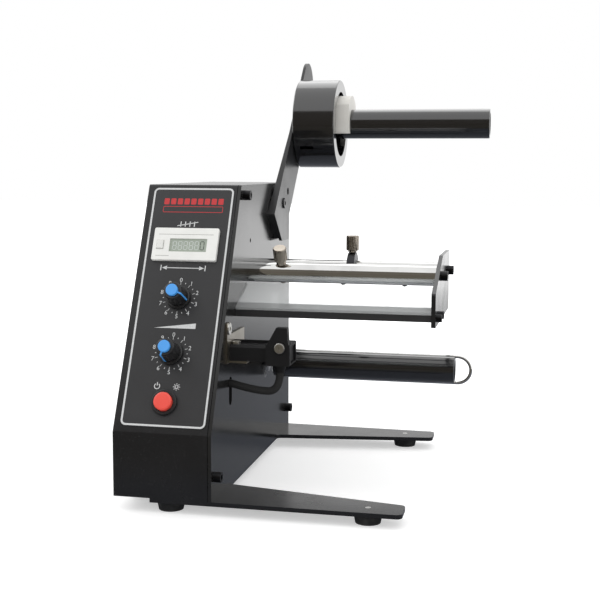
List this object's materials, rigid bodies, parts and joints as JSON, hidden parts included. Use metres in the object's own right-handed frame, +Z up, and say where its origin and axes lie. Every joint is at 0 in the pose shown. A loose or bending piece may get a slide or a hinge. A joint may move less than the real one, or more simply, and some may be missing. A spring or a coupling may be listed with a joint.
{
  "type": "label dispenser",
  "caption": "Motor-driven desk machine that peels labels: sloping dial panel, roll arm with core drum, guide rods, peel edge, label sensor and rewind roller.",
  "frame": {"origin": "on the table, under the middle of the machine's outline", "axes": "+Z up; +Y from the dial panel to the back; +X from the housing to the free ends of the spindle and rods"},
  "size_m": [0.239, 0.3128, 0.3271],
  "materials": {
    "black_paint": "smooth gloss black paint on sheet steel",
    "panel_film": "dark grey printed film",
    "rubber": "moulded black rubber",
    "zinc_screw": "zinc plated",
    "black_screw": "black oxide",
    "steel_bar": "turned or pressed bright steel",
    "chrome": "polished chrome plate",
    "silver_screw": "bright stainless steel",
    "black_plastic": "moulded black plastic",
    "black_ring": "black oxide steel",
    "gloss_black": "smooth black with a bright sheen",
    "display_window": "grey-green liquid crystal window",
    "pale_bezel": "moulded pale grey plastic",
    "grey_key": "moulded grey plastic",
    "blue_cap": "moulded blue plastic",
    "red_key": "moulded red plastic",
    "motor_metal": "plated steel can",
    "circuit_board": "green laminate",
    "white_plastic": "moulded white nylon",
    "clear_acrylic": "clear cast acrylic",
    "lead_sheath": "black flexible sheath"
  },
  "bodies": {
    "frame": {"base_plate": "black_paint", "side_plate": "black_paint", "left_plate": "black_paint", "front_cover": "black_paint", "rear_cover": "black_paint", "roll_arm": "black_paint", "outer_plate": "black_paint", "panel_overlay": "panel_film", "rubber_feet": "rubber", "case_screws": "zinc_screw", "motor_screws": "zinc_screw", "spindle_screw": "zinc_screw", "inner_screws": "zinc_screw", "side_screws": "black_screw", "outer_screws": "black_screw", "arm_screws": "black_screw", "rod_set_screws": "black_screw", "tie_bars": "steel_bar", "arm_spacers": "steel_bar", "sensor_bracket": "steel_bar", "pot_nuts": "steel_bar", "front_rod": "chrome", "rear_rod": "chrome", "sensor_screws": "silver_screw", "counter_case": "black_plastic", "dial_pots": "black_plastic", "switch_body": "black_plastic", "switch_bezel": "black_plastic", "sensor_rail": "black_plastic", "power_inlet": "black_plastic", "peel_bar": "black_plastic", "board_parts": "black_plastic", "spindle_tube": "gloss_black", "counter_lens": "display_window", "counter_bezel": "pale_bezel", "gear_box": "motor_metal", "drive_motor": "motor_metal", "control_board": "circuit_board", "board_posts": "white_plastic", "liner_plate": "clear_acrylic", "peel_plate": "clear_acrylic", "sensor_cable": "lead_sheath"},
    "roller": {"drive_shaft": "steel_bar", "rewind_roller": "gloss_black"},
    "wire": {"wire_clip": "silver_screw"},
    "drum": {"core_drum": "gloss_black"},
    "saddle": {"hub_saddle": "white_plastic"},
    "front_thumb": {"front_rod_screw": "chrome"},
    "rear_stop": {"rear_ring": "black_ring"},
    "rear_thumb": {"rear_ring_screw": "black_screw"},
    "sensor": {"sensor_head": "black_plastic"},
    "clamp": {"clamp_screw": "silver_screw"},
    "length_dial": {"length_shaft": "steel_bar", "length_knob": "black_plastic", "length_cap": "blue_cap"},
    "speed_dial": {"speed_shaft": "steel_bar", "speed_knob": "black_plastic", "speed_cap": "blue_cap"},
    "power_key": {"power_button": "red_key"},
    "reset_key": {"counter_button": "grey_key"}
  },
  "joints": [
    {"name": "roller_spin", "type": "hinge", "parent": "frame", "child": "roller", "pos_m": [-0.0445, 0.01055, 0.0774], "axis": [1, 0, 0], "continuous": true},
    {"name": "wire_slide", "type": "slide", "parent": "roller", "child": "wire", "axis": [1, 0, 0], "range_m": [0, 0.13]},
    {"name": "drum_spin", "type": "hinge", "parent": "frame", "child": "drum", "pos_m": [-0.02475, 0.10255, 0.272], "axis": [1, 0, 0], "continuous": true},
    {"name": "saddle_slide", "type": "slide", "parent": "frame", "child": "saddle", "axis": [1, 0, 0], "range_m": [0, 0.114]},
    {"name": "front_thumb_turn", "type": "hinge", "parent": "frame", "child": "front_thumb", "pos_m": [-0.024, -0.06149, 0.17074], "axis": [0, -0.4695, 0.8829], "range_deg": [0, 360]},
    {"name": "rear_ring_slide", "type": "slide", "parent": "frame", "child": "rear_stop", "axis": [1, 0, 0], "range_m": [-0.062, 0.064]},
    {"name": "rear_thumb_turn", "type": "hinge", "parent": "rear_stop", "child": "rear_thumb", "pos_m": [0.0195, 0.00255, 0.176], "axis": [0, 0, 1], "range_deg": [0, 360]},
    {"name": "sensor_slide", "type": "slide", "parent": "frame", "child": "sensor", "axis": [1, 0, 0], "range_m": [-0.013, 0.004]},
    {"name": "clamp_turn", "type": "hinge", "parent": "sensor", "child": "clamp", "pos_m": [-0.0109, -0.11955, 0.1109], "axis": [0, -1, 0], "range_deg": [0, 360]},
    {"name": "length_turn", "type": "hinge", "parent": "frame", "child": "length_dial", "pos_m": [-0.0851, -0.11377, 0.143], "axis": [0, -0.8998, 0.4364], "range_deg": [-192, 108]},
    {"name": "speed_turn", "type": "hinge", "parent": "frame", "child": "speed_dial", "pos_m": [-0.0851, -0.13149, 0.10647], "axis": [0, -0.8998, 0.4364], "range_deg": [-100, 200]},
    {"name": "power_press", "type": "slide", "parent": "frame", "child": "power_key", "axis": [0, 0.8998, -0.4364], "range_m": [0, 0.003], "stiffness_N_per_m": 400, "springref_m": -0.0006},
    {"name": "reset_press", "type": "slide", "parent": "frame", "child": "reset_key", "axis": [0, 0.8998, -0.4364], "range_m": [0, 0.0008], "stiffness_N_per_m": 300, "springref_m": -0.0006}
  ]
}
